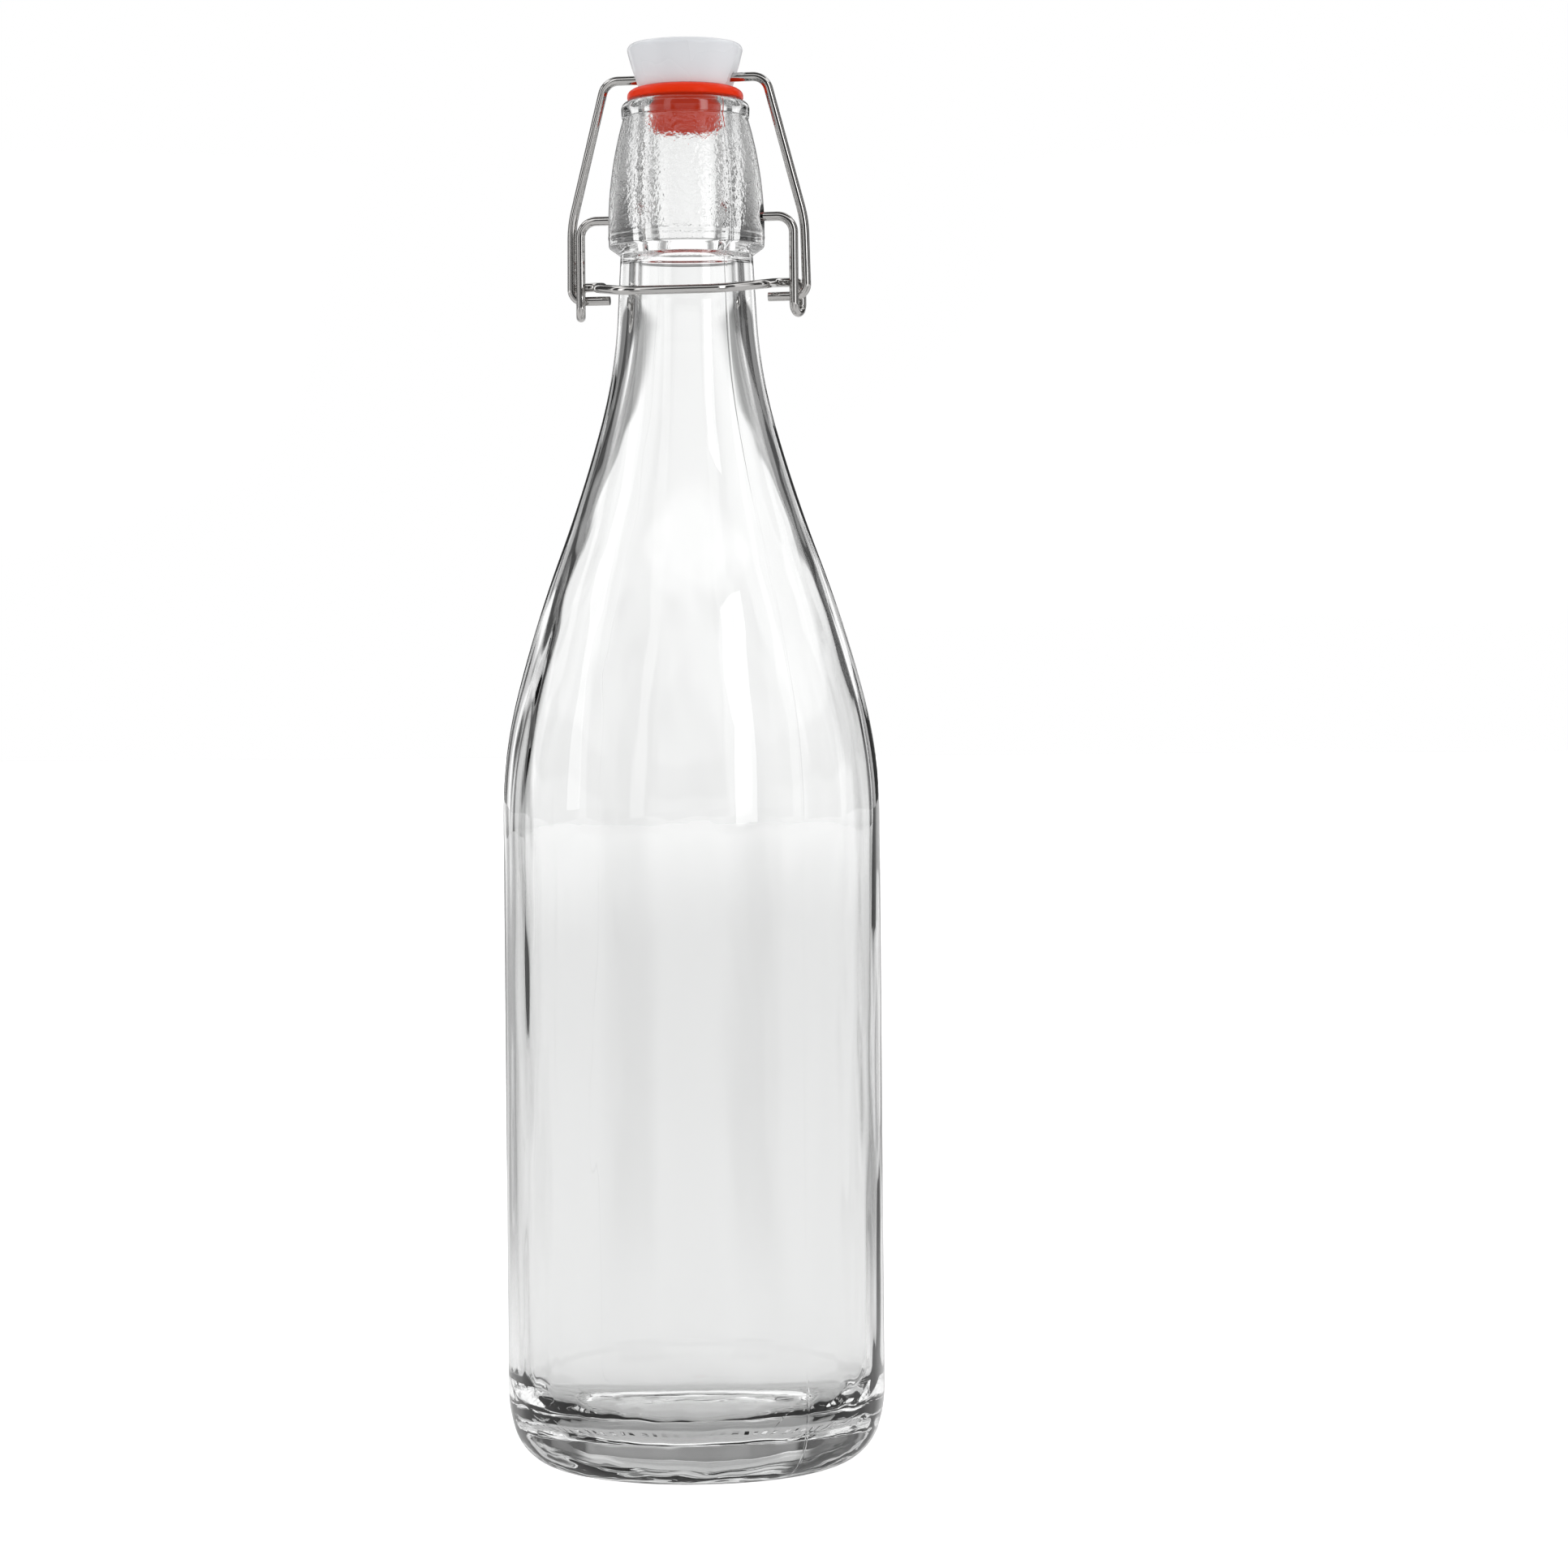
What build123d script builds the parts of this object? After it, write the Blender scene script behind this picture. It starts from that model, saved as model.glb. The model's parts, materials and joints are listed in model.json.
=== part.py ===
"""Swing top bottle: glass bottle, silicone seal on a stopper, and the two wires that clamp it.

Millimetres. +Z is up and the origin is the middle of the base. X is the axis that the wires
turn about, and -Y is the front, where the thumb arc of the lever wire lies. The bottle is
closed at rest: the lever is down and past its dead centre.
"""
from build123d import *
from math import asin, cos, radians, sin
import os

# --- bottle body ---
body_radius = 41.5
wall = 2.8
heel_lower_radius = 11.6
heel_upper_radius = 30.0
heel_split_angle = 73.0       # degrees from the base plane where the two heel arcs meet
bearing_ring_width = 2.6      # the flat ring that the bottle stands on
punt_height = 4.0             # the hollow under the base
punt_side = (14.6, 3.1)       # a radius and height on the hollow's arc
floor_radius = 25.5           # inside floor, where its heel arc starts
floor_z = 9.5
floor_crown = 1.5             # how far the middle of the inside floor rises
floor_half_rise = 0.75        # share of the crown that is left at half the floor's radius

# --- shoulder and neck ---
shoulder_z = 142.0            # top of the cylindrical body
shoulder_arcs = [(110.0, 14.5), (305.0, 6.0), (337.0, -5.0), (116.0, -12.9)]  # radius, turn
neck_top_z = 265.8
neck_top_radius = 14.55
throat_radius = 10.8          # inside the neck, at the foot of the shoulder's arcs
throat_top_radius = 10.6
throat_top_z = 263.6          # where the inside starts to close in to the bore

# --- finish: the barrel-shaped head that carries the wires, then the band and the lip ---
head_bottom = (16.6, 267.3)   # radius and height of the lower edge
head_edge = (17.15, 268.1)    # where the side starts, above the eased lower edge
head_middle = (16.5, 282.5)
head_top = (13.75, 295.8)
band_top_z = 297.8
band_radius = 14.1
band_easing = 0.4
lip_z = 299.6
lip_crest_radius = 12.4
lip_shoulder = (13.63, 299.07)
bore_radius = 8.0
bore_top = (7.95, 292.0)
bore_bulge = (8.2, 280.5)
bore_bottom = (7.7, 269.0)    # a ledge leads from here out to the throat
ledge_angle = 60.0            # degrees that the inside leans in at the ledge

# --- wires ---
wire_radius = 1.0
pivot_z = 274.0               # lever pivot, in the dimples of the head
pivot_tip_x = 14.8
dimple_bottom_x = 14.5
dimple_clearance = 0.08
dimple_mouth_radius = 3.3
dimple_mouth_depth = 2.6
dimple_face_x = 17.5          # just outside the head
link_y = 2.1                  # bail's lower axis at rest, behind the pivot: past dead centre
link_z = 256.6
stopper_axis_z = 304.7        # bail's upper axis, through the stopper

# --- lever wire ---
strand_x = 23.9               # front strand, down from the pivot
loop_bottom_drop = 21.0       # below the pivot
loop_back_y = 4.2
loop_spread = 1.0             # the back strand stands this much further out
crossing_drop = 14.2          # where the wire turns in over the bail's end
thumb_drop = 17.2             # middle of the thumb arc, below the pivot
thumb_half = 10.5             # corners of the thumb arc's front stretch
thumb_y = -17.6
thumb_side_x = 19.2           # where the wire turns forward at each side
thumb_side_y = -9.0           # a corner half way forward, which bows the side outwards
thumb_side_bow = 0.6
crossing_lead = 0.9           # the turn in stands this much before the back strand
lever_bend_radii = [3.6, 2.05, 2.05, 1.5, 4.2, 9.0, 9.0]    # pivot, eye, eye, crossing, thumb arc

# --- bail wire ---
bail_top_half = 17.9
bail_knee_half = 26.1
bail_knee_drop = 31.5         # below the stopper axis
bail_foot_half = 26.4
bail_stub_tip_x = 17.8
bail_bend_radii = [2.6, 25.0, 3.6]        # foot, knee, top

# --- stopper ---
stopper_top_z = 312.2
stopper_top_radius = 12.7
stopper_edge_radius = 1.4
stopper_foot_z = 302.6
stopper_foot_radius = 10.5
stopper_waist_radius = 11.85  # half way up
stopper_flat_x = 9.7          # side flats at the foot
stopper_flat_lean = 20.0      # degrees
stopper_cut_size = (6, 30, 12)            # larger than what each flat takes off
stopper_hole_clearance = 0.07
stem_radius = 3.0
stem_barb_radius = 3.8
stem_barb_height = 1.6
stem_barb_chamfer = 0.8

# --- seal ---
seal_disc_radius = 12.75
seal_rim_thickness = 0.9
seal_rim_easing = 0.25
seal_seat_inset = 0.6         # the dome starts this much inside the stopper's foot
seal_dome_middle = (11.6, 301.8)
seal_groove = 0.5             # under the disc, round the top of the plug
seal_gap = 0.35               # between the seal and the lip
seal_plug_depth = 9.0         # below the lip
seal_plug_steps = [(9.4, 0.0), (9.0, 1.0), (7.9, 2.4), (7.5, 3.4), (7.4, 5.6)]  # radius, drop
seal_plug_corner = (6.4, 8.0)             # radius and drop, half way round its lower corner
seal_plug_end_radius = 4.6


def revolved(make_outline):
    """Turn a half outline, drawn in X and Z, about the Z axis."""
    with BuildPart() as body:
        with BuildSketch(Plane.XZ):
            with BuildLine():
                make_outline()
            make_face()
        revolve(axis=Axis.Z)
    return body.part


def draw_shoulder(start, scale):
    """The shoulder's tangent arcs from the body up to the neck. Returns where they end."""
    point = start
    direction = (0, 1)
    for radius, turn in shoulder_arcs:
        arc = JernArc(start=point, tangent=direction, radius=radius * scale, arc_size=turn)
        point = arc @ 1
        direction = arc % 1
    return point


def shoulder_drop():
    """How much the shoulder's arcs narrow the radius, at full scale."""
    heading = 0.0
    drop = 0.0
    for radius, turn in shoulder_arcs:
        swing = abs(cos(radians(heading)) - cos(radians(heading + turn)))
        drop += radius * swing
        heading += turn
    return drop


def wire_along(points, radii):
    """A round wire through the corner points, each corner bent to its own radius."""
    with BuildPart() as wire:
        with BuildLine() as path:
            FilletPolyline(*points, radius=radii)
        with BuildSketch(Plane(origin=path.line @ 0, z_dir=path.line % 0)):
            Circle(wire_radius)
        sweep()
    return wire.part


# --- glass bottle -------------------------------------------------------------------------
def bottle_outline():
    """Outside of the body, shoulder, neck, head, band and lip, closed along the axis."""
    heel_low = radians(heel_split_angle)
    heel_run = heel_lower_radius * sin(heel_low) + heel_upper_radius * (1 - sin(heel_low))
    ring_outer = body_radius - heel_run
    ring_inner = ring_outer - bearing_ring_width
    ThreePointArc((0, punt_height), punt_side, (ring_inner, 0))
    Line((ring_inner, 0), (ring_outer, 0))
    ring_edge = (ring_outer, 0)
    rest_angle = 90 - heel_split_angle
    low = JernArc(start=ring_edge, tangent=(1, 0), radius=heel_lower_radius, arc_size=heel_split_angle)
    high = JernArc(start=low @ 1, tangent=low % 1, radius=heel_upper_radius, arc_size=rest_angle)
    Line(high @ 1, (body_radius, shoulder_z))
    neck = draw_shoulder((body_radius, shoulder_z), 1.0)
    neck_top = (neck_top_radius, neck_top_z)
    band_foot = (band_radius - band_easing, head_top[1])
    band_low = (band_radius, head_top[1] + band_easing)
    band_top = (band_radius, band_top_z)
    lip_crest = (lip_crest_radius, lip_z)
    Line(neck, neck_top)
    Line(neck_top, head_bottom)
    Line(head_bottom, head_edge)
    ThreePointArc(head_edge, head_middle, head_top)
    Line(head_top, band_foot)
    Line(band_foot, band_low)
    Line(band_low, band_top)
    ThreePointArc(band_top, lip_shoulder, lip_crest)
    Line(lip_crest, (0, lip_z))
    Line((0, lip_z), (0, punt_height))


def cavity_outline():
    """Inside of the bottle, from the floor up through the bore and out of the mouth."""
    inner_radius = body_radius - wall
    heel = inner_radius - floor_radius
    scale = (inner_radius - throat_radius) / shoulder_drop()
    floor_middle = (0, floor_z + floor_crown)
    floor_half_way = (floor_radius / 2, floor_z + floor_crown * floor_half_rise)
    over_lip = lip_z + 1
    Line(floor_middle, (0, over_lip))
    ThreePointArc(floor_middle, floor_half_way, (floor_radius, floor_z))
    floor_heel = JernArc(start=(floor_radius, floor_z), tangent=(1, 0), radius=heel, arc_size=90)
    Line(floor_heel @ 1, (inner_radius, shoulder_z - wall))
    neck = draw_shoulder((inner_radius, shoulder_z - wall), scale)
    throat_top = (throat_top_radius, throat_top_z)
    Line(neck, throat_top)
    ledge_radius = (throat_top_radius - bore_bottom[0]) / (2 * (1 - cos(radians(ledge_angle))))
    low = JernArc(start=throat_top, tangent=(0, 1), radius=ledge_radius, arc_size=ledge_angle)
    high = JernArc(start=low @ 1, tangent=low % 1, radius=ledge_radius, arc_size=-ledge_angle)
    Line(high @ 1, bore_bottom)
    ThreePointArc(bore_bottom, bore_bulge, bore_top)
    entry = lip_crest_radius - bore_radius
    entry_foot = (bore_radius, lip_z - entry)
    Line(bore_top, entry_foot)
    JernArc(start=entry_foot, tangent=(0, 1), radius=entry, arc_size=-90)
    Line((lip_crest_radius, lip_z), (lip_crest_radius, over_lip))
    Line((lip_crest_radius, over_lip), (0, over_lip))


def dimple(side):
    """The conical dimple in one side that a lever end turns in, with a short round bottom."""
    hole_radius = wire_radius + dimple_clearance
    hole_depth = dimple_face_x - dimple_bottom_x
    outward = (side, 0, 0)
    hole_plane = Plane(origin=(side * dimple_bottom_x, 0, pivot_z), z_dir=outward)
    mouth_plane = Plane(origin=(side * (dimple_face_x - dimple_mouth_depth), 0, pivot_z), z_dir=outward)
    hole = hole_plane * Cylinder(hole_radius, hole_depth, align=(Align.CENTER, Align.CENTER, Align.MIN))
    mouth = mouth_plane * Cone(hole_radius, dimple_mouth_radius, dimple_mouth_depth,
                               align=(Align.CENTER, Align.CENTER, Align.MIN))
    return hole + mouth


def make_bottle():
    return revolved(bottle_outline) - revolved(cavity_outline) - dimple(1) - dimple(-1)


# --- lever wire ---------------------------------------------------------------------------
def make_lever_wire():
    """One wire: in at a dimple, down, round the eye, across the front as the thumb arc, and back."""
    outer_x = strand_x + loop_spread
    bottom = pivot_z - loop_bottom_drop
    crossing = pivot_z - crossing_drop
    thumb = pivot_z - thumb_drop
    middle = (crossing + thumb) / 2
    right = [
        (pivot_tip_x, 0, pivot_z),
        (strand_x, 0, pivot_z),
        (strand_x, 0, bottom),
        (outer_x, loop_back_y, bottom),
        (outer_x, loop_back_y, crossing),
        (thumb_side_x, loop_back_y - crossing_lead, crossing),
        (thumb_side_x - thumb_side_bow, thumb_side_y, middle),
        (thumb_half, thumb_y, thumb),
    ]
    left = [(-x, y, z) for x, y, z in reversed(right)]
    return wire_along(right + left, lever_bend_radii + lever_bend_radii[::-1])


# --- bail wire ----------------------------------------------------------------------------
def make_bail_wire():
    """One wire: through the stopper, down both sides, and in to the two stubs in the lever's eyes."""
    drop = stopper_axis_z - link_z
    lean = asin(link_y / drop)
    foot = drop / cos(lean)

    def on_bail(x, down):
        return (x, down * sin(lean), stopper_axis_z - down * cos(lean))

    right = [
        on_bail(bail_stub_tip_x, foot),
        on_bail(bail_foot_half, foot),
        on_bail(bail_knee_half, bail_knee_drop),
        on_bail(bail_top_half, 0),
    ]
    left = [(-x, y, z) for x, y, z in reversed(right)]
    return wire_along(right + left, bail_bend_radii + bail_bend_radii[::-1])


# --- stopper ------------------------------------------------------------------------------
def stopper_outline():
    """Cup-shaped cap over a barbed stem that holds the seal."""
    plug_end = lip_z + seal_gap - seal_plug_depth
    side_low = (stopper_foot_radius, stopper_foot_z)
    side_high = (stopper_top_radius, stopper_top_z - stopper_edge_radius)
    tip = (stem_barb_radius - stem_barb_chamfer, plug_end)
    barb_low = (stem_barb_radius, plug_end + stem_barb_chamfer)
    barb_high = (stem_barb_radius, plug_end + stem_barb_height)
    stem_low = (stem_radius, plug_end + stem_barb_height)
    stem_high = (stem_radius, stopper_foot_z)
    Line((0, plug_end), tip)
    Line(tip, barb_low)
    Line(barb_low, barb_high)
    Line(barb_high, stem_low)
    Line(stem_low, stem_high)
    Line(stem_high, side_low)
    side_middle = (stopper_waist_radius, (stopper_foot_z + stopper_top_z) / 2)
    ThreePointArc(side_low, side_middle, side_high)
    top_edge = JernArc(start=side_high, tangent=(0, 1), radius=stopper_edge_radius, arc_size=90)
    Line(top_edge @ 1, (0, stopper_top_z))
    Line((0, stopper_top_z), (0, plug_end))


def make_stopper():
    cap = revolved(stopper_outline)
    for side in (-1, 1):
        cut = Box(*stopper_cut_size, align=(Align.MIN, Align.CENTER, Align.MIN))
        cut = Pos(stopper_flat_x, 0, stopper_foot_z) * Rot(0, stopper_flat_lean, 0) * cut
        cap -= cut if side > 0 else Rot(0, 0, 180) * cut
    hole_radius = wire_radius + stopper_hole_clearance
    hole = Cylinder(hole_radius, 4 * stopper_top_radius, rotation=(0, 90, 0))
    return cap - Pos(0, 0, stopper_axis_z) * hole


# --- seal ---------------------------------------------------------------------------------
def seal_outline():
    """Umbrella disc over a stepped plug, round the stopper's stem."""
    lip = lip_z + seal_gap
    plug_end = lip - seal_plug_depth
    barb_top = plug_end + stem_barb_height
    first_radius = seal_plug_steps[0][0]
    stem_high = (stem_radius, stopper_foot_z)
    seat = (stopper_foot_radius - seal_seat_inset, stopper_foot_z)
    rim_high = (seal_disc_radius, lip + seal_rim_thickness)
    rim_low = (seal_disc_radius - seal_rim_easing, lip)
    groove = (first_radius + seal_groove, lip + seal_groove)
    Line(stem_high, seat)
    ThreePointArc(seat, seal_dome_middle, rim_high)
    Line(rim_high, rim_low)
    Line(rim_low, groove)
    Line(groove, (first_radius, lip))
    last = (first_radius, lip)
    for radius, drop in seal_plug_steps[1:]:
        Line(last, (radius, lip - drop))
        last = (radius, lip - drop)
    corner = (seal_plug_corner[0], lip - seal_plug_corner[1])
    ThreePointArc(last, corner, (seal_plug_end_radius, plug_end))
    Line((seal_plug_end_radius, plug_end), (stem_barb_radius, plug_end))
    Line((stem_barb_radius, plug_end), (stem_barb_radius, barb_top))
    Line((stem_barb_radius, barb_top), (stem_radius, barb_top))
    Line((stem_radius, barb_top), stem_high)


os.makedirs("parts", exist_ok=True)
export_step(make_bottle(), "parts/bottle.step")
export_step(make_lever_wire(), "parts/lever_wire.step")
export_step(make_bail_wire(), "parts/bail_wire.step")
export_step(make_stopper(), "parts/stopper.step")
export_step(revolved(seal_outline), "parts/seal.step")
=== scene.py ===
import json
from math import asin, atan2, cos, degrees, hypot, pi, radians, sin, tan

import bpy
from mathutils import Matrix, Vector


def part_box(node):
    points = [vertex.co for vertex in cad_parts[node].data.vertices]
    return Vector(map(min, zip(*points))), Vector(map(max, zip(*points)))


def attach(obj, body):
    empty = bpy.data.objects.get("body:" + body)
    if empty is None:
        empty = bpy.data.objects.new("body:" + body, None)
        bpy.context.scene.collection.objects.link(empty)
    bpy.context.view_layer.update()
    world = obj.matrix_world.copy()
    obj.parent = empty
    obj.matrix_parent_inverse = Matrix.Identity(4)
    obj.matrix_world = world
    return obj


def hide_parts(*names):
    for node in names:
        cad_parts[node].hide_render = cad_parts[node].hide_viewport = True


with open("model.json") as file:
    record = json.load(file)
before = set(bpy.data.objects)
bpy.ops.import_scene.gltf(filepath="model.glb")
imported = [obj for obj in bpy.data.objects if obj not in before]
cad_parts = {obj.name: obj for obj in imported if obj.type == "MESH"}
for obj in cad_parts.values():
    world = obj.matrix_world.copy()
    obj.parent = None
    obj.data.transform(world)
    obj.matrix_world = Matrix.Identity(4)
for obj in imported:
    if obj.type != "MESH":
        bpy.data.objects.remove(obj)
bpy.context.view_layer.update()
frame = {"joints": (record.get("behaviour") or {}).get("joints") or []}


# ---------------------------------------------------------------------------------------
# Glass bottle
# Clear soda-lime glass, blown in a two-part mould: heavy base with a hollow under it, straight
# body, long shoulder, and a barrel-shaped head with a conical dimple in each side for the wire.
# ---------------------------------------------------------------------------------------
MM = 0.001                                   # one millimetre, in metres
joint_at = {joint["name"]: Vector(joint["pos_m"]) / MM for joint in frame["joints"]}
pivot_z = joint_at["lever_swing"].z
body_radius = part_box("bottle")[1].x / MM
lip_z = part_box("bottle")[1].z / MM
wall = 2.8
punt_height = 4.0                            # of the hollow under the base
punt_fullness = 0.8                          # below 1 the hollow is flatter in its middle
ring_inner = 26.5
ring_outer = 29.1
heel_arcs = [(11.6, 73.0), (30.0, 17.0)]                                     # radius, turn
shoulder_z = 142.0
shoulder_arcs = [(110.0, 14.5), (305.0, 6.0), (337.0, -5.0), (116.0, -12.9)]
neck_top = (14.55, 265.8)
head_bottom = (16.6, 267.3)
head_edge_arc = (0.75, 72)                   # radius, turn
head_middle = (16.5, 282.5)
head_top = (13.75, 295.8)
band_radius = 14.1
band_top_z = 297.8
lip_side = (13.63, 299.07)
lip_crest_radius = 12.4
mouth_rounding = 2.2
bore_radius = 8.0
bore_top = (7.95, 292.0)
bore_bulge = (8.2, 280.5)
bore_bottom = (7.7, 269.0)
ledge_angle = 60.0
throat_radius = 10.8
throat_top = (10.6, 263.6)
floor_radius = 25.5
floor_z = 9.5
floor_crown = 1.5                            # rise of the inside floor to its middle
disc_steps = 12                              # rings across the floor and the hollow
dimple_bottom_x = 14.5
dimple_hole_radius = 1.08
dimple_mouth_radius = 3.3
dimple_mouth_depth = 2.6
dimple_face_x = 17.5
teeth = 72                                   # knurls round the bearing ring
tooth_height = 0.5
teeth_inner = 26.8
teeth_outer = 31.4
teeth_below_z = 0.4
parting_z = 269.7                            # ring where the mould's head parts
parting_height = 0.14
parting_half_width = 0.35
seam_angles = (radians(-44), radians(136))   # where the two halves of the mould meet


def walk(start, heading, arcs, pitch):
    """Points along tangent arcs of (radius, turn), in the radius and height plane. Left is plus."""
    r, z = start
    points = []
    for radius, turn in arcs:
        count = max(3, round(radius * radians(abs(turn)) / pitch))
        bend = radians(turn) / count
        chord = 2 * radius * sin(abs(bend) / 2)
        for _ in range(count):
            heading += bend
            r += chord * cos(heading - bend / 2)
            z += chord * sin(heading - bend / 2)
            points.append((r, z))
    return points


def straight(start, end, pitch):
    """Evenly spaced points after the start, up to and with the end."""
    count = max(1, round(hypot(end[0] - start[0], end[1] - start[1]) / pitch))
    return [
        (start[0] + (end[0] - start[0]) * i / count, start[1] + (end[1] - start[1]) * i / count)
        for i in range(1, count + 1)
    ]


def bulge(start, middle, end, pitch):
    """Points after the start, along the circle through three points."""
    (ax, ay), (bx, by), (cx, cy) = start, middle, end
    d = 2 * (ax * (by - cy) + bx * (cy - ay) + cx * (ay - by))
    a, b, c = ax * ax + ay * ay, bx * bx + by * by, cx * cx + cy * cy
    x = (a * (by - cy) + b * (cy - ay) + c * (ay - by)) / d
    y = (a * (cx - bx) + b * (ax - cx) + c * (bx - ax)) / d
    radius = hypot(ax - x, ay - y)
    first = atan2(ay - y, ax - x)
    turn = (atan2(cy - y, cx - x) - first + pi) % (2 * pi) - pi
    count = max(2, round(radius * abs(turn) / pitch))
    angles = [first + turn * i / count for i in range(1, count + 1)]
    return [(x + radius * cos(t), y + radius * sin(t)) for t in angles]


def chain(points):
    """A string of edges through points in mm, drawn by extruding one vertex."""
    bpy.ops.object.select_all(action="DESELECT")
    bpy.ops.mesh.primitive_plane_add(size=MM)
    bpy.ops.object.mode_set(mode="EDIT")
    bpy.ops.mesh.merge(type="CENTER")
    here = Vector((0, 0, 0))
    for point in points:
        step = (Vector(point) - here) * MM
        bpy.ops.mesh.extrude_region_move(TRANSFORM_OT_translate={"value": step})
        here = Vector(point)
    bpy.ops.object.mode_set(mode="OBJECT")
    drawn = bpy.context.object
    drawn.data.vertices[0].select = True
    for vertex in drawn.data.vertices[1:]:
        vertex.select = False
    bpy.ops.object.mode_set(mode="EDIT")
    bpy.ops.mesh.delete(type="VERT")
    bpy.ops.object.mode_set(mode="OBJECT")
    return drawn


def apply(piece, kind, **settings):
    """Adds one modifier with its settings and applies it."""
    modifier = piece.modifiers.new(kind.lower(), kind)
    for name, value in settings.items():
        setattr(modifier, name, value)
    bpy.context.view_layer.objects.active = piece
    bpy.ops.object.modifier_apply(modifier=modifier.name)


def clean(piece, smooth_angle):
    """Merges doubles, turns the faces outwards and shades smooth below the angle."""
    bpy.ops.object.select_all(action="DESELECT")
    piece.select_set(True)
    bpy.context.view_layer.objects.active = piece
    bpy.ops.object.mode_set(mode="EDIT")
    bpy.ops.mesh.select_all(action="SELECT")
    bpy.ops.mesh.remove_doubles(threshold=0.004 * MM)
    bpy.ops.mesh.normals_make_consistent(inside=False)
    bpy.ops.object.mode_set(mode="OBJECT")
    bpy.ops.object.shade_smooth_by_angle(angle=radians(smooth_angle))


def turned(name, outline, steps, smooth_angle=40):
    """A closed outline of (radius, height) points, turned about Z."""
    piece = chain([(r, 0, z) for r, z in outline])
    piece.name = piece.data.name = name
    apply(piece, "SCREW", steps=steps, render_steps=steps, use_merge_vertices=True,
          merge_threshold=0.001 * MM)
    clean(piece, smooth_angle)
    return piece


def outside_outline():
    """From the middle of the hollow base, up the outside, to the crest of the lip."""
    punt = [(ring_inner * i / disc_steps, punt_height * cos(pi / 2 * i / disc_steps) ** punt_fullness)
            for i in range(disc_steps)]
    ring = [(ring_inner, 0.25), (ring_inner + 0.4, 0.0)]
    ring += straight(ring[-1], (ring_outer, 0.0), 0.8)
    heel = walk(ring[-1], 0.0, heel_arcs, 0.9)
    body = straight(heel[-1], (body_radius, shoulder_z), 3.0)
    shoulder = walk(body[-1], pi / 2, shoulder_arcs, 1.6)
    neck = straight(shoulder[-1], neck_top, 1.2)
    underside = straight(neck_top, head_bottom, 0.6)
    lower_edge = walk(head_bottom, radians(20), [head_edge_arc], 0.2)
    head = [(r + parting_height * max(0, 1 - abs(z - parting_z) / parting_half_width), z)
            for r, z in bulge(lower_edge[-1], head_middle, head_top, 0.3)]
    band = [(band_radius - 0.35, head_top[1] + 0.05), (band_radius - 0.08, head_top[1] + 0.3)]
    band += straight(band[-1], (band_radius, band_top_z), 0.4)
    lip = bulge((band_radius, band_top_z), lip_side, (lip_crest_radius, lip_z), 0.25)
    return punt + ring + heel + body + shoulder + neck + underside + lower_edge + head + band + lip


def inside_outline():
    """From the middle of the inside floor, up the inside, to the crest of the lip."""
    floor = [(floor_radius * i / disc_steps, floor_z + floor_crown * (1 - (i / disc_steps) ** 2))
             for i in range(disc_steps + 1)]
    inner_radius = body_radius - wall
    heel = walk(floor[-1], 0.0, [(inner_radius - floor_radius, 90.0)], 1.3)
    body = straight(heel[-1], (inner_radius, shoulder_z - wall), 3.0)
    narrowing = body_radius - walk((body_radius, shoulder_z), pi / 2, shoulder_arcs, 1.6)[-1][0]
    scale = (inner_radius - throat_radius) / narrowing
    shoulder = walk(body[-1], pi / 2, [(radius * scale, turn) for radius, turn in shoulder_arcs], 2.0)
    throat = straight(shoulder[-1], throat_top, 1.5)
    ledge_radius = (throat_top[0] - bore_bottom[0]) / (2 * (1 - cos(radians(ledge_angle))))
    ledge_arcs = [(ledge_radius, ledge_angle), (ledge_radius, -ledge_angle)]
    ledge = walk(throat_top, pi / 2, ledge_arcs, 0.35)
    bore = bulge(ledge[-1], bore_bulge, bore_top, 0.9)
    bore += straight(bore_top, (bore_radius, lip_z - mouth_rounding), 0.8)
    mouth = walk(bore[-1], pi / 2, [(mouth_rounding, -90)], 0.3)
    return floor + heel + body + shoulder + throat + ledge + bore + mouth


def pierce(piece, side, height, depth_x, hole_radius, mouth_radius, mouth_depth, face_x):
    """Cuts a blind round hole with a conical mouth into one side, along X."""
    for radius_in, radius_out, start in (
        (hole_radius, hole_radius, depth_x),
        (hole_radius, mouth_radius, face_x - mouth_depth),
    ):
        reach = face_x - start
        bpy.ops.object.select_all(action="DESELECT")
        bpy.ops.mesh.primitive_cone_add(
            vertices=48, radius1=radius_in * MM, radius2=radius_out * MM, depth=reach * MM,
            location=(side * (start + reach / 2) * MM, 0, height * MM),
            rotation=(0, side * pi / 2, 0))
        drill = bpy.context.object
        apply(piece, "BOOLEAN", object=drill, operation="DIFFERENCE", solver="EXACT")
        bpy.data.objects.remove(drill)


def knurl(piece):
    """Raises every other spoke of the bearing ring, which leaves a row of short teeth."""
    bpy.context.view_layer.objects.active = piece
    bpy.ops.object.mode_set(mode="EDIT")
    bpy.ops.mesh.select_mode(type="VERT")
    bpy.ops.mesh.select_all(action="DESELECT")
    bpy.ops.object.mode_set(mode="OBJECT")
    for vertex in piece.data.vertices:
        x, y, z = vertex.co / MM
        spoke = round(atan2(y, x) / (pi / teeth))
        on_ring = teeth_inner < hypot(x, y) < teeth_outer and z < teeth_below_z
        vertex.select = on_ring and spoke % 2 == 1
    bpy.ops.object.mode_set(mode="EDIT")
    bpy.ops.transform.translate(value=(0, 0, tooth_height * MM))
    bpy.ops.object.mode_set(mode="OBJECT")


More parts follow.
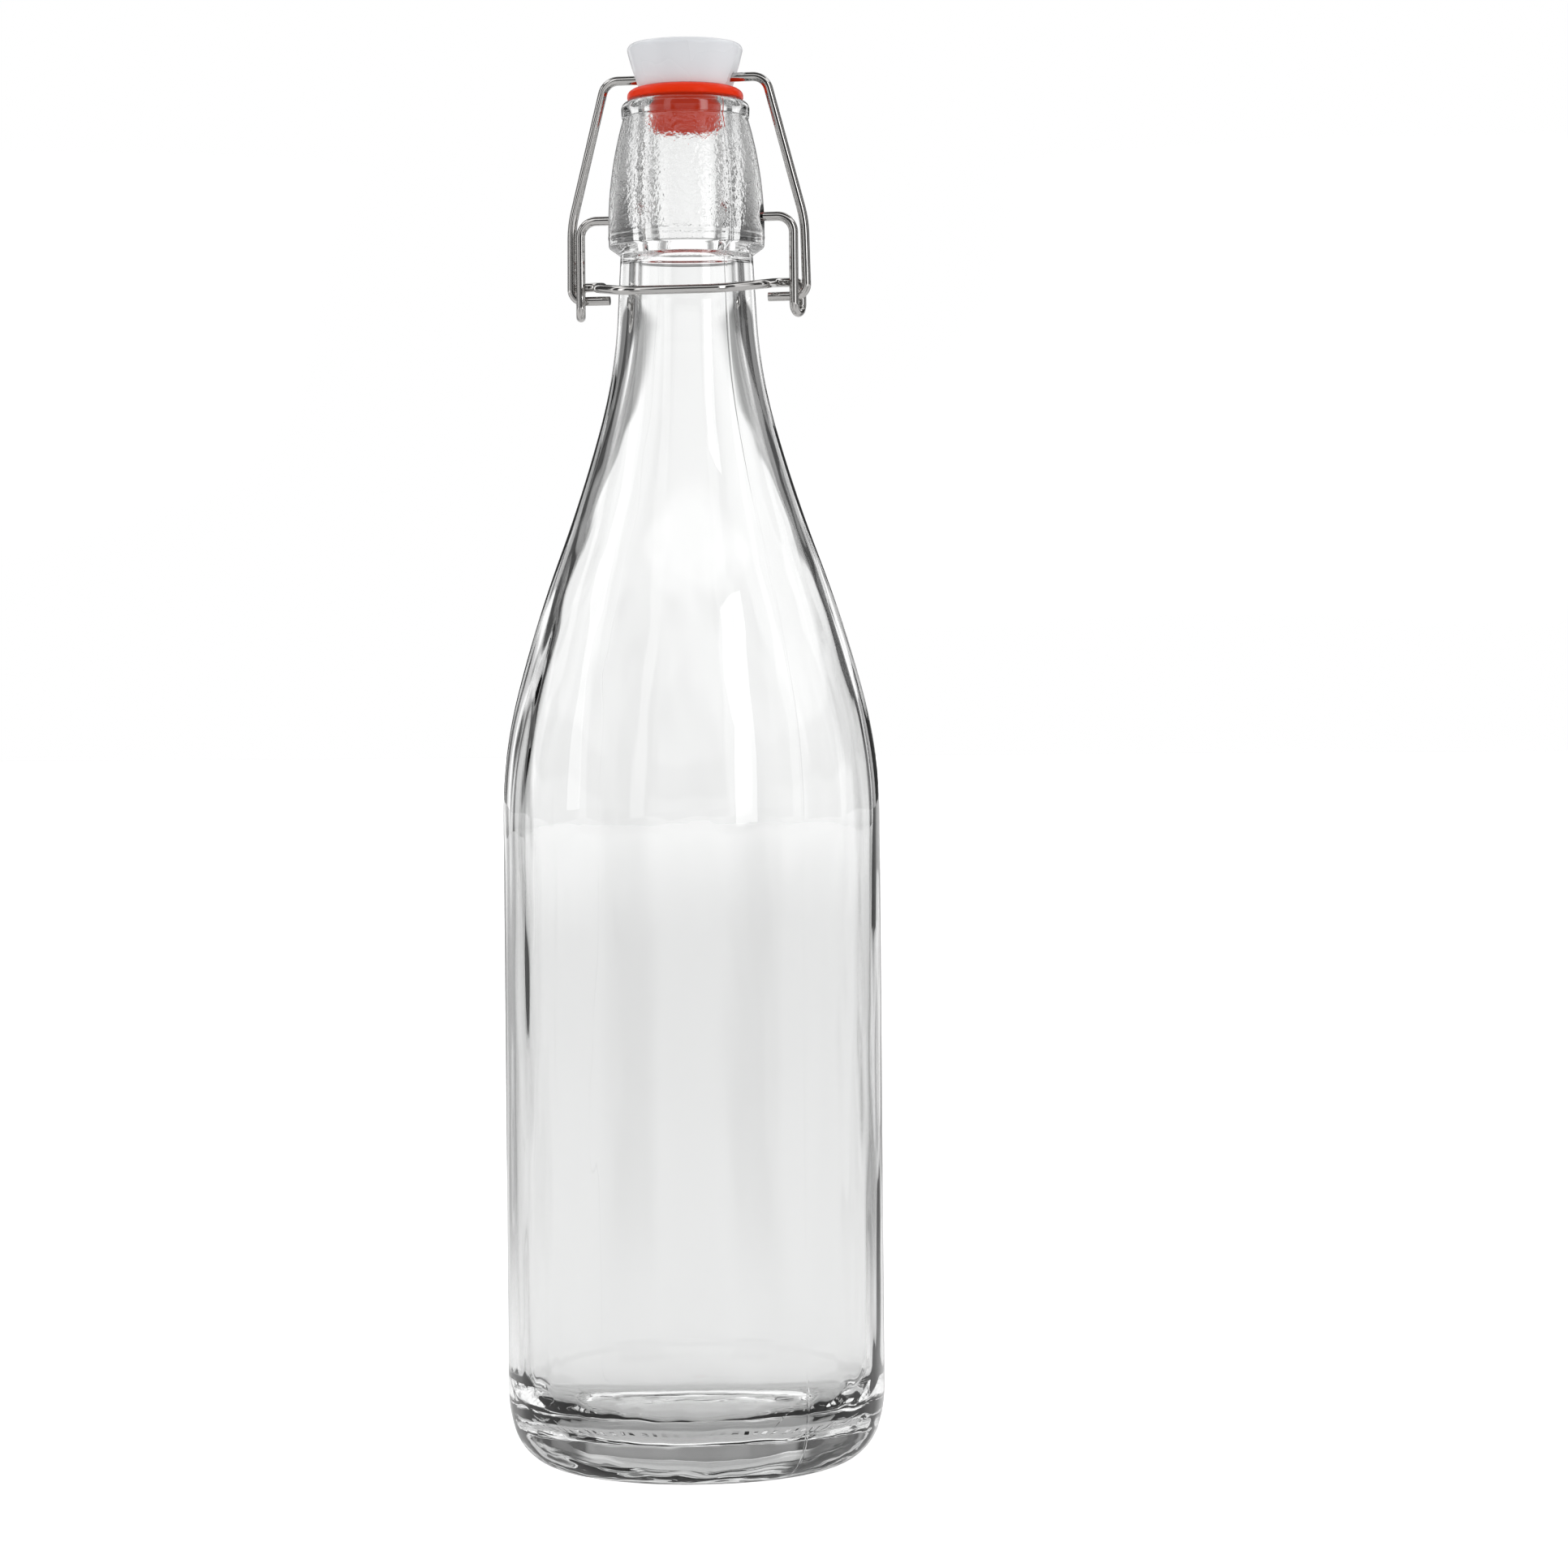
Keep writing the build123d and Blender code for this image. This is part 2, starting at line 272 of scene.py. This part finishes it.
def mark_outside(piece):
    """Gives each vertex 1 where the glass faces away from the axis, and 0 elsewhere."""
    least_outward = 0.2
    marks = piece.data.attributes.new("outside", "FLOAT", "POINT")
    for vertex, mark in zip(piece.data.vertices, marks.data):
        outward = vertex.co.xy.dot(vertex.normal.xy)
        mark.value = float(outward > least_outward * vertex.co.xy.length)


class Value:
    """An output socket of a material's nodes. Operators on it add Math nodes."""

    def __init__(self, tree, socket=None):
        self.tree = tree
        self.socket = socket

    def node(self, kind, settings=(), sockets=(), out=0):
        """Any other node: its settings are set first, then the values or links of its sockets."""
        made = self.tree.nodes.new(kind)
        for name, setting in dict(settings).items():
            setattr(made, name, setting)
        for name, value in dict(sockets).items():
            if isinstance(value, Value):
                self.tree.links.new(value.socket, made.inputs[name])
            else:
                made.inputs[name].default_value = value
        return Value(self.tree, made.outputs[out])

    def maths(self, operation, a, b=0.0, c=0.0):
        return self.node("ShaderNodeMath", {"operation": operation}, {0: a, 1: b, 2: c})

    def __add__(self, other):
        return self.maths("ADD", self, other)

    def __radd__(self, other):
        return self.maths("ADD", other, self)

    def __sub__(self, other):
        return self.maths("SUBTRACT", self, other)

    def __rsub__(self, other):
        return self.maths("SUBTRACT", other, self)

    def __mul__(self, other):
        return self.maths("MULTIPLY", self, other)

    def __rmul__(self, other):
        return self.maths("MULTIPLY", other, self)

    def __truediv__(self, other):
        return self.maths("DIVIDE", self, other)

    def __rtruediv__(self, other):
        return self.maths("DIVIDE", other, self)

    def ramp(self, low, high):
        """0 below low and 1 above high, with a soft step between."""
        return self.node("ShaderNodeMapRange", {"interpolation_type": "SMOOTHSTEP"},
                         {"Value": self, "From Min": low, "From Max": high})


def new_material(name, **constants):
    """A Principled material with its constant sockets set. Returns it, its shader and its tree."""
    material = bpy.data.materials.new(name)
    material.use_nodes = True
    shader = material.node_tree.nodes["Principled BSDF"]
    for socket, value in constants.items():
        shader.inputs[socket.replace("_", " ")].default_value = value
    return material, shader, Value(material.node_tree)


def feed(shader, name, value):
    """Links a value that varies over the surface into one of the shader's sockets."""
    value.tree.links.new(value.socket, shader.inputs[name])


def noise(tree, vector, scale, detail, roughness=0.5):
    """A Noise texture's value."""
    return tree.node("ShaderNodeTexNoise", sockets={
        "Vector": vector, "Scale": scale, "Detail": detail, "Roughness": roughness})


def blend_colours(tree, share, first, second):
    """The first colour where the share is 0, the second where it is 1."""
    return tree.node("ShaderNodeMix", {"data_type": "RGBA"}, {"Factor": share, 6: first, 7: second}, out=2)


def place_of(tree):
    """The object coordinates, whole and split into X, Y and Z."""
    whole = tree.node("ShaderNodeTexCoord", out="Object")
    apart = [tree.node("ShaderNodeSeparateXYZ", sockets={0: whole}, out=axis) for axis in "XYZ"]
    return whole, apart


def bump(tree, height, distance, strength=1.0, under=None):
    """A Bump node over an optional one below it."""
    sockets = {"Strength": strength, "Distance": distance, "Height": height}
    if under:
        sockets["Normal"] = under
    return tree.node("ShaderNodeBump", sockets=sockets)


glass_colour = (0.99, 0.993, 0.991, 1)
heel_painted_shade_colour = (0.5, 0.505, 0.502, 1)         # painted shade: the outside of the heel is painted grey
heel_painted_shade_fade = (6.0, 9.0)                       # heights between which the painted grey shade fades out
stipple_scale = 900.0
stipple_depth = 0.2
wave_scale = 75.0
wave_stretch = 0.16                          # the waves run up and down
wave_depth = 1.0
wave_fade = (190.0, 260.0)                   # heights between which the waves calm down
wave_calm = 0.8
seam_half_width = (0.1, 0.4)
seam_depth = 0.045


def clear_glass():
    """Clear glass: stippled on the head, wavy on the body, a fine seam up each side, and painted grey
    shade on the outside of the heel.
    """
    material, shader, tree = new_material("clear_glass", Roughness=0.0, IOR=1.5, Transmission_Weight=1.0)
    whole, (x, y, z) = place_of(tree)
    outside = tree.node("ShaderNodeAttribute", {"attribute_name": "outside"}, out="Fac")

    on_head = z.ramp((parting_z + 0.3) * MM, (parting_z + 1.5) * MM)
    on_head = on_head * (1 - z.ramp((head_top[1] - 1) * MM, head_top[1] * MM)) * outside
    grain = noise(tree, whole, stipple_scale, 2.0, 0.55)
    stippled = bump(tree, grain * on_head, stipple_depth * MM)

    drawn = tree.node("ShaderNodeMapping", sockets={"Vector": whole, "Scale": (1, 1, wave_stretch)})
    waves = noise(tree, drawn, wave_scale, 1.5, 0.45)
    calm = 1 - z.ramp(wave_fade[0] * MM, wave_fade[1] * MM) * wave_calm
    wavy = bump(tree, waves * calm, wave_depth * MM, under=stippled)

    # Painted shade: the outside of the heel is painted grey, fading out above it.
    heel = outside * (1 - z.ramp(heel_painted_shade_fade[0] * MM, heel_painted_shade_fade[1] * MM))
    feed(shader, "Base Color", blend_colours(tree, heel, glass_colour, heel_painted_shade_colour))

    seam = 0.0
    for seam_angle in seam_angles:
        across = tree.maths("ABSOLUTE", x * sin(seam_angle) - y * cos(seam_angle))
        ahead = (x * cos(seam_angle) + y * sin(seam_angle)).ramp(0.0, 2 * MM)
        seam = (1 - across.ramp(seam_half_width[0] * MM, seam_half_width[1] * MM)) * ahead + seam
    feed(shader, "Normal", bump(tree, seam * outside, seam_depth * MM, under=wavy))
    return material


bottle = turned("glass_bottle", outside_outline() + inside_outline()[::-1], 2 * teeth)
knurl(bottle)
for side in (-1, 1):
    pierce(bottle, side, pivot_z, dimple_bottom_x, dimple_hole_radius, dimple_mouth_radius,
           dimple_mouth_depth, dimple_face_x)
clean(bottle, 40)
mark_outside(bottle)
bottle.data.materials.clear()
bottle.data.materials.append(clear_glass())
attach(bottle, "glass")
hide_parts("bottle")


# ---------------------------------------------------------------------------------------
# Lever wire
# One length of 2 mm polished steel wire. Its ends turn in the head's dimples, it is bent
# round into an eye on each side, and it crosses the front of the neck as the thumb arc.
# ---------------------------------------------------------------------------------------
wire_radius = 1.0
pivot_tip_x = 14.8
strand_x = 23.9
loop_bottom_drop = 21.0
loop_back_y = 4.2
loop_spread = 1.0
crossing_drop = 14.2
thumb_drop = 17.2
thumb_y = -17.6
thumb_side_x = 19.2
thumb_bend_x = 10.5
thumb_bend_y = -9.0
degrees_per_step = 7                         # of a bend in the wire
end_bevel = 0.15
steel_colour = (0.50, 0.49, 0.48, 1)
steel_roughness = 0.05
smudge_roughness = 0.06                      # what the smudges add at most


def bent_wire(name, corners, bend_radii):
    """A round wire through the corners, bent at each one, with its cut ends eased."""
    corners = [Vector(corner) for corner in corners]
    route = [corners[0]]
    for before, corner, after, radius in zip(corners, corners[1:], corners[2:], bend_radii):
        back = (before - corner).normalized()
        ahead = (after - corner).normalized()
        half = back.angle(ahead) / 2
        reach = radius / tan(half)
        centre = corner + (back + ahead).normalized() * (radius / sin(half))
        start = corner + back * reach - centre
        finish = corner + ahead * reach - centre
        turn = start.angle(finish)
        count = max(4, round(degrees(turn) / degrees_per_step))
        for i in range(count + 1):
            t = i / count
            spoke = start * (sin((1 - t) * turn) / sin(turn)) + finish * (sin(t * turn) / sin(turn))
            route.append(centre + spoke)
    route.append(corners[-1])
    wire = chain(route)
    wire.name = wire.data.name = name
    bpy.ops.object.select_all(action="DESELECT")
    wire.select_set(True)
    bpy.context.view_layer.objects.active = wire
    bpy.ops.object.convert(target="CURVE")
    wire = bpy.context.object
    wire.data.bevel_depth = wire_radius * MM
    wire.data.bevel_resolution = 7
    wire.data.use_fill_caps = True
    bpy.ops.object.convert(target="MESH")
    wire = bpy.context.object
    wire.name = wire.data.name = name
    clean(wire, 40)
    apply(wire, "BEVEL", width=end_bevel * MM, segments=2, limit_method="ANGLE",
          angle_limit=radians(50))
    clean(wire, 40)
    return wire


def polished_wire():
    """Bright drawn steel with faint smudges and a very slight unevenness."""
    material, shader, tree = new_material("polished_wire", Base_Color=steel_colour, Metallic=1.0)
    whole, _ = place_of(tree)
    smudges = noise(tree, whole, 120.0, 2.0)
    feed(shader, "Roughness", steel_roughness + smudges * smudge_roughness)
    unevenness = noise(tree, whole, 900.0, 1.0)
    feed(shader, "Normal", bump(tree, unevenness, 0.0015 * MM))
    return material


right_side = [
    (pivot_tip_x, 0, pivot_z),
    (strand_x, 0, pivot_z),
    (strand_x, 0, pivot_z - loop_bottom_drop),
    (strand_x + loop_spread, loop_back_y, pivot_z - loop_bottom_drop),
    (strand_x + loop_spread, loop_back_y, pivot_z - crossing_drop),
    (thumb_side_x, loop_back_y - 0.9, pivot_z - crossing_drop),
    (thumb_side_x - 0.6, thumb_bend_y, pivot_z - (crossing_drop + thumb_drop) / 2),
    (thumb_bend_x, thumb_y, pivot_z - thumb_drop),
]
left_side = [(-x, y, z) for x, y, z in reversed(right_side)]
lever_bends = [3.6, 2.05, 2.05, 1.5, 4.2, 9.0, 9.0]
lever = bent_wire("lever_wire_steel", right_side + left_side, lever_bends + lever_bends[::-1])
steel = polished_wire()
lever.data.materials.append(steel)
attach(lever, "lever")
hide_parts("lever_wire")


# ---------------------------------------------------------------------------------------
# Bail wire
# The same wire, passed through the stopper and bent down both sides. Its two ends turn in
# through the lever's eyes, which pull it down when the lever is closed.
# ---------------------------------------------------------------------------------------
link = joint_at["bail_link"]
stopper_axis_z = joint_at["stopper_tilt"].z
bail_top_half = 17.9
bail_knee_half = 26.1
bail_knee_drop = 31.5
bail_foot_half = 26.4
bail_stub_tip_x = 17.8
bail_lean = asin(link.y / (stopper_axis_z - link.z))
bail_foot_drop = (stopper_axis_z - link.z) / cos(bail_lean)


def on_bail(x, down):
    """A place on the leaning plane of the bail."""
    return (x, down * sin(bail_lean), stopper_axis_z - down * cos(bail_lean))


right_side = [
    on_bail(bail_stub_tip_x, bail_foot_drop),
    on_bail(bail_foot_half, bail_foot_drop),
    on_bail(bail_knee_half, bail_knee_drop),
    on_bail(bail_top_half, 0),
]
left_side = [(-x, y, z) for x, y, z in reversed(right_side)]
bail_bends = [2.6, 25.0, 3.6]
bail = bent_wire("bail_wire_steel", right_side + left_side, bail_bends + bail_bends[::-1])
bail.data.materials.append(steel)
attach(bail, "bail")
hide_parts("bail_wire")


# ---------------------------------------------------------------------------------------
# Stopper
# Moulded white plastic: a flared cap with two slanting side flats where the bail enters,
# over a barbed stem that the seal is pushed on to.
# ---------------------------------------------------------------------------------------
stopper_top_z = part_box("stopper")[1].z / MM
stem_end_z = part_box("stopper")[0].z / MM
stopper_foot = (10.5, 302.6)
stopper_waist = 11.85                         # radius half way up the cap
stopper_top_radius = 12.7
stopper_edge_radius = 1.4
stopper_flat_x = 9.7
stopper_flat_lean = 20.0
flat_block = 40.0                             # side of the block that cuts each flat
wire_hole_radius = 1.07
wire_hole_mouth = 1.3
wire_hole_chamfer = 0.3
wire_hole_face_x = 11.0
stem_radius = 3.0
barb_radius = 3.8
barb_height = 1.6
barb_chamfer = 0.8
plastic_colour = (0.86, 0.875, 0.905, 1)
plastic_roughness = 0.24
dull_patches = 0.06                          # what the duller places add at most


def stopper_outline():
    """The barbed stem, the flared side, the rounded top edge and the flat top."""
    barb_top = stem_end_z + barb_height
    stem = [(0, stem_end_z), (barb_radius - barb_chamfer, stem_end_z),
            (barb_radius, stem_end_z + barb_chamfer), (barb_radius, barb_top),
            (stem_radius, barb_top), (stem_radius, stopper_foot[1])]
    edge_z = stopper_top_z - stopper_edge_radius
    waist = (stopper_waist, (stopper_foot[1] + stopper_top_z) / 2)
    side = [stopper_foot] + bulge(stopper_foot, waist, (stopper_top_radius, edge_z), 0.6)
    edge = walk((stopper_top_radius, edge_z), pi / 2, [(stopper_edge_radius, 90)], 0.2)
    return stem + side + edge + [(9.0, stopper_top_z), (5.0, stopper_top_z), (0, stopper_top_z)]


def cut_side_flat(piece, side):
    """Cuts the cap back to a slanting plane on one side."""
    lean = radians(stopper_flat_lean)
    reach = flat_block / 2
    bpy.ops.object.select_all(action="DESELECT")
    bpy.ops.mesh.primitive_cube_add(
        size=flat_block * MM,
        location=(side * (stopper_flat_x + reach * cos(lean)) * MM, 0,
                  (stopper_foot[1] - reach * sin(lean)) * MM),
        rotation=(0, side * lean, 0))
    block = bpy.context.object
    apply(piece, "BOOLEAN", object=block, operation="DIFFERENCE", solver="EXACT")
    bpy.data.objects.remove(block)


def white_plastic():
    """Cool white moulded plastic, semi-gloss, a little duller in places."""
    material, shader, tree = new_material("white_plastic", Base_Color=plastic_colour, IOR=1.5)
    whole, _ = place_of(tree)
    skin = noise(tree, whole, 160.0, 1.0)
    feed(shader, "Roughness", plastic_roughness + skin * dull_patches)
    return material


stopper = turned("stopper_cap", stopper_outline(), 128)
for side in (-1, 1):
    cut_side_flat(stopper, side)
    pierce(stopper, side, stopper_axis_z, 0.0, wire_hole_radius, wire_hole_mouth,
           wire_hole_chamfer, wire_hole_face_x)
clean(stopper, 15)
stopper.data.materials.append(white_plastic())
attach(stopper, "closure")
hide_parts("stopper")


# ---------------------------------------------------------------------------------------
# Seal
# Soft orange-red silicone, moulded as an umbrella disc over a stepped plug, and stretched
# over the stopper's stem.
# ---------------------------------------------------------------------------------------
seal_low_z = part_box("seal")[0].z / MM
seal_disc_radius = 12.75
seal_rim_thickness = 0.9
seal_gap = 0.35
plug_steps = [(9.3, 0.0), (8.6, 0.8), (8.0, 1.8), (7.85, 3.4), (7.8, 5.6)]
plug_corner = (7.1, 8.0)
plug_end_radius = 5.4
plug_colour_with_painted_light = (1.0, 0.045, 0.001, 1)         # painted light: brighter than the disc, to make up for the light it loses behind the glass
disc_colour = (0.93, 0.036, 0.001, 1)
skin_scale = 900.0
skin_depth = 0.012
seal_bevel = 0.12


def seal_outline():
    """The hole round the stem, the domed disc, its rim and the stepped plug."""
    lip = lip_z + seal_gap
    barb_top = seal_low_z + barb_height
    inside = [(barb_radius, seal_low_z), (barb_radius, barb_top), (stem_radius, barb_top),
              (stem_radius, stopper_foot[1]), (stopper_foot[0] - 0.6, stopper_foot[1])]
    rim_high = (seal_disc_radius, lip + seal_rim_thickness)
    dome = [(inside[-1][0] + (rim_high[0] - inside[-1][0]) * sin(radians(t)),
             rim_high[1] + (inside[-1][1] - rim_high[1]) * cos(radians(t))) for t in range(12, 91, 13)]
    rim = [rim_high, (seal_disc_radius, lip + 0.25), (seal_disc_radius - 0.3, lip)]
    plug = [(plug_steps[0][0] + 0.7, lip + 0.5), (plug_steps[0][0], lip)]
    plug += [(radius, lip - drop) for radius, drop in plug_steps[1:]]
    corner = (plug_corner[0], lip - plug_corner[1])
    end = bulge(plug[-1], corner, (plug_end_radius, seal_low_z), 0.5) + [(barb_radius, seal_low_z)]
    return inside + dome + rim + plug + end


def orange_silicone():
    """Orange-red silicone with a soft sheen that lets a little light into it."""
    material, shader, tree = new_material(
        "orange_silicone", IOR=1.4, Specular_IOR_Level=0.2, Subsurface_Weight=0.08,
        Subsurface_Scale=0.001, Subsurface_Radius=(1.0, 0.25, 0.1))
    whole, (_, _, height) = place_of(tree)
    skin = noise(tree, whole, skin_scale, 3.0)
    feed(shader, "Roughness", 0.26 + skin * 0.16)
    # Painted light: the plug below the lip gets a colour brighter than the disc's.
    on_disc = height.ramp((lip_z - 1) * MM, (lip_z + 0.5) * MM)
    feed(shader, "Base Color", blend_colours(tree, on_disc, plug_colour_with_painted_light, disc_colour))
    feed(shader, "Normal", bump(tree, skin, skin_depth * MM))
    return material


seal = turned("silicone_seal", seal_outline(), 128, 30)
apply(seal, "BEVEL", width=seal_bevel * MM, segments=2, limit_method="ANGLE",
      angle_limit=radians(35))
clean(seal, 40)
seal.data.materials.append(orange_silicone())
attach(seal, "closure")
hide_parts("seal")


# ---------------------------------------------------------------------------------------
# Studio
# A pale floor and a soft pale sky, both white where the camera sees them bare. The glass and
# the steel see dark bands in them, as from a studio's dark cards, and two soft lights.
# ---------------------------------------------------------------------------------------
view_turn = radians(10.0)                    # the camera and the cards stand turned by this
card_band = (24, 31, 48, 58)                 # degrees to either side of the line of view
floor_size = 30
floor_grey = 0.55
floor_glow = 0.33
far_grey = 0.1                               # added to each at a distance
far_glow = 0.08
card_shade_on_floor = 0.6
shade_at_base = 0.15
sky_light = 0.9
sky_rise = 0.12                              # lighter above the horizon, and again higher up
sky_second_rise = 0.14
cloudiness = 0.2
front_shade = 0.3
card_in_sky = 0.85
side_card_band = (64, 70, 76, 82)
side_card_in_sky = 0.15
rising_band = (0.125, 0.155, 0.25, 0.29)     # as a share of straight up
rising_shade = 0.74
darkest = 0.06
box_band = (24, 27, 36, 39)
side_box_band = (66, 69, 74, 77)
side_box = 0.8
overhead_band = (0.62, 0.66, 0.8, 0.84)
box_light = 1.45
box_dark = 0.07


def band(value, rise, top, fall, end):
    """1 between top and fall, and 0 below rise and above end."""
    return value.ramp(rise, top) * (1 - value.ramp(fall, end))


def turned_band(heading, angles):
    """A band between four headings in degrees."""
    return band(heading, *[radians(angle) for angle in angles])


def heading_of(tree, east, north):
    """How far a direction is turned from the line of view, to either side."""
    sideways = east * cos(view_turn) + north * sin(view_turn)
    along = tree.maths("ABSOLUTE", north * cos(view_turn) - east * sin(view_turn))
    return tree.maths("ABSOLUTE", tree.maths("ARCTAN2", sideways, along))


def grey(tree, value):
    """The same value as red, green and blue."""
    return tree.node("ShaderNodeCombineXYZ", sockets={axis: value for axis in "XYZ"})


def pale_floor():
    """A pale floor, painted lighter far away, with painted shade in the cards' bands and a faint painted
    shade round the base.
    """
    material, shader, tree = new_material("studio_floor", Roughness=0.6, Emission_Strength=1.0)
    _, (x, y, _) = place_of(tree)
    distance = tree.maths("SQRT", x * x + y * y)
    far = 1 - (1 / (distance + 1)).ramp(0.14, 0.32)
    # Painted shade: the floor is darker in the cards' bands and round the base.
    cards = turned_band(heading_of(tree, x, y), card_band) * distance.ramp(0.15, 0.6)
    lit = (1 - cards * card_shade_on_floor) * (1 - shade_at_base + distance.ramp(0.04, 0.09) * shade_at_base)
    feed(shader, "Base Color", grey(tree, (floor_grey + far * far_grey) * lit))
    seen = tree.node("ShaderNodeLightPath", out="Is Camera Ray")
    glow = tree.maths("MAXIMUM", seen, (floor_glow + far * far_glow) * lit)
    feed(shader, "Emission Color", grey(tree, glow))
    return material


bpy.ops.object.select_all(action="DESELECT")
bpy.ops.mesh.primitive_plane_add(size=floor_size)
floor = bpy.context.object
floor.name = "studio_floor"
floor.data.materials.append(pale_floor())

world = bpy.context.scene.world or bpy.data.worlds.new("studio")
bpy.context.scene.world = world
world.use_nodes = True
background = world.node_tree.nodes["Background"]
background.inputs["Color"].default_value = (1.0, 1.0, 1.0, 1)
sky = Value(world.node_tree)
direction = sky.node("ShaderNodeTexCoord", out="Generated")
east, north, up = [sky.node("ShaderNodeSeparateXYZ", sockets={0: direction}, out=axis) for axis in "XYZ"]
heading = heading_of(sky, east, north)
low = 1 - sky.maths("ABSOLUTE", up).ramp(0.55, 0.75)

# What the glass passes on: a pale sky with cards at both sides and a band above the horizon.
cloud = noise(sky, direction, 5.0, 1.0)
light = sky_light + up.ramp(-0.02, 0.04) * sky_rise + up.ramp(0.25, 0.32) * sky_second_rise
light = light + (cloud - 0.5) * cloudiness
light = light * (1 - (0 - north).ramp(0.0, 0.5) * front_shade)
near_card = turned_band(heading, card_band) * low * card_in_sky
side_card = turned_band(heading, side_card_band) * low * side_card_in_sky
rising_dark = band(up, *rising_band) * rising_shade
through = sky.maths("MAXIMUM", light - near_card - side_card - rising_dark, darkest)

# What the steel and the glass mirror: light boxes at both sides and overhead, in the dark.
boxes = turned_band(heading, box_band) + turned_band(heading, side_box_band) * side_box
boxes = boxes * low + band(up, *overhead_band)
mirrored = boxes * box_light + box_dark

seen, glossy, reflected = [
    sky.node("ShaderNodeLightPath", out=kind)
    for kind in ("Is Camera Ray", "Is Glossy Ray", "Is Reflection Ray")]
mirror = glossy * reflected
brightness = sky.maths("MAXIMUM", mirrored * mirror + through * (1 - mirror), seen)
feed(background, "Strength", brightness)


light_width = 0.2
light_height = 0.7
light_aim = Vector((0, 0, 0.2))


def soft_light(name, place, power):
    """A tall soft box that faces the upper part of the bottle."""
    light = bpy.data.lights.new(name, "AREA")
    light.shape = "RECTANGLE"
    light.size = light_width
    light.size_y = light_height
    light.energy = power
    lamp = bpy.data.objects.new(name, light)
    lamp.location = place
    lamp.visible_transmission = False
    lamp.rotation_euler = (light_aim - Vector(place)).to_track_quat("-Z", "Y").to_euler()
    bpy.context.collection.objects.link(lamp)


soft_light("key_light", (0.62, -0.62, 0.45), 1.3)
soft_light("fill_light", (-0.9, -0.35, 0.5), 0.8)

view_distance = 0.95
view_height = 0.165
view_across = 0.0204                         # the camera stands this far to the right
view_width = 0.345741                        # metres that the view spans at the bottle's axis
view_tilt = radians(-0.94)
view_roll = radians(-0.5)
sensor_width = 36.0

camera_data = bpy.data.cameras.new("camera")
camera_data.sensor_width = sensor_width
camera_data.lens = sensor_width * view_distance / view_width
camera = bpy.data.objects.new("camera", camera_data)
away = Vector((sin(view_turn), -cos(view_turn), 0))
sideways = Vector((cos(view_turn), sin(view_turn), 0))
camera.location = away * view_distance + sideways * view_across + Vector((0, 0, view_height))
camera.rotation_euler = (radians(90) + view_tilt, 0, view_turn)
camera.rotation_euler.rotate_axis("Z", view_roll)
bpy.context.collection.objects.link(camera)
bpy.context.scene.camera = camera
bpy.context.scene.view_settings.view_transform = "Standard"
